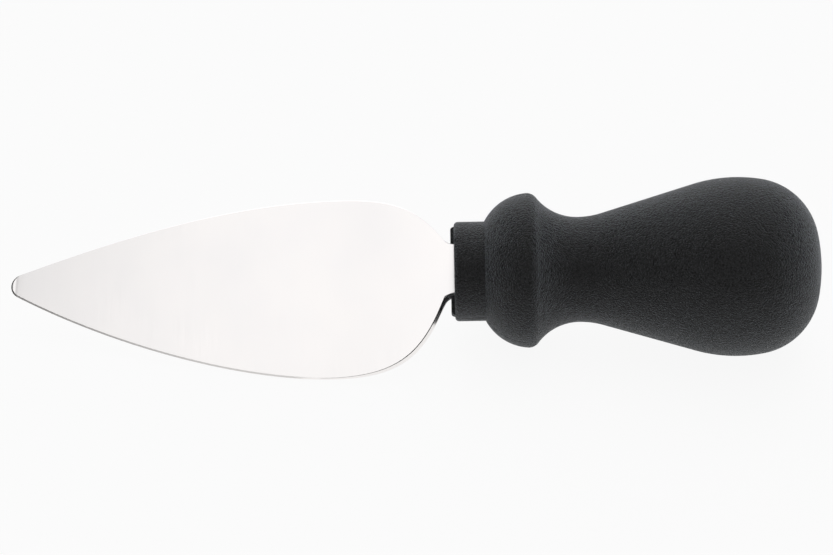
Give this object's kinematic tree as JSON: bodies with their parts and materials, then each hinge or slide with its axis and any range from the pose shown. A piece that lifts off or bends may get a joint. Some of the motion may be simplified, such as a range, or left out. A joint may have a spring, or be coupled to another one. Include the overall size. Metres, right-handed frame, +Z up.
{
  "type": "parmesan knife",
  "caption": "Short knife for breaking and portioning hard cheese, with a leaf-shaped ground blade and a round moulded handle with a finger bead and a bulb",
  "frame": {"origin": "on the surface the knife lies on, below the middle of its bounding box", "axes": "+X towards the butt of the handle, -X towards the tip, +Z up. The knife lies at rest on the bead, the bulb and the belly of the blade, with the visible face of the blade turned up and towards -Y"},
  "size_m": [0.2016, 0.0456, 0.0446],
  "materials": {
    "blade_steel": "polished",
    "handle_plastic": "matte"
  },
  "bodies": {
    "root": {"blade": "blade_steel", "handle": "handle_plastic"}
  },
  "joints": []
}
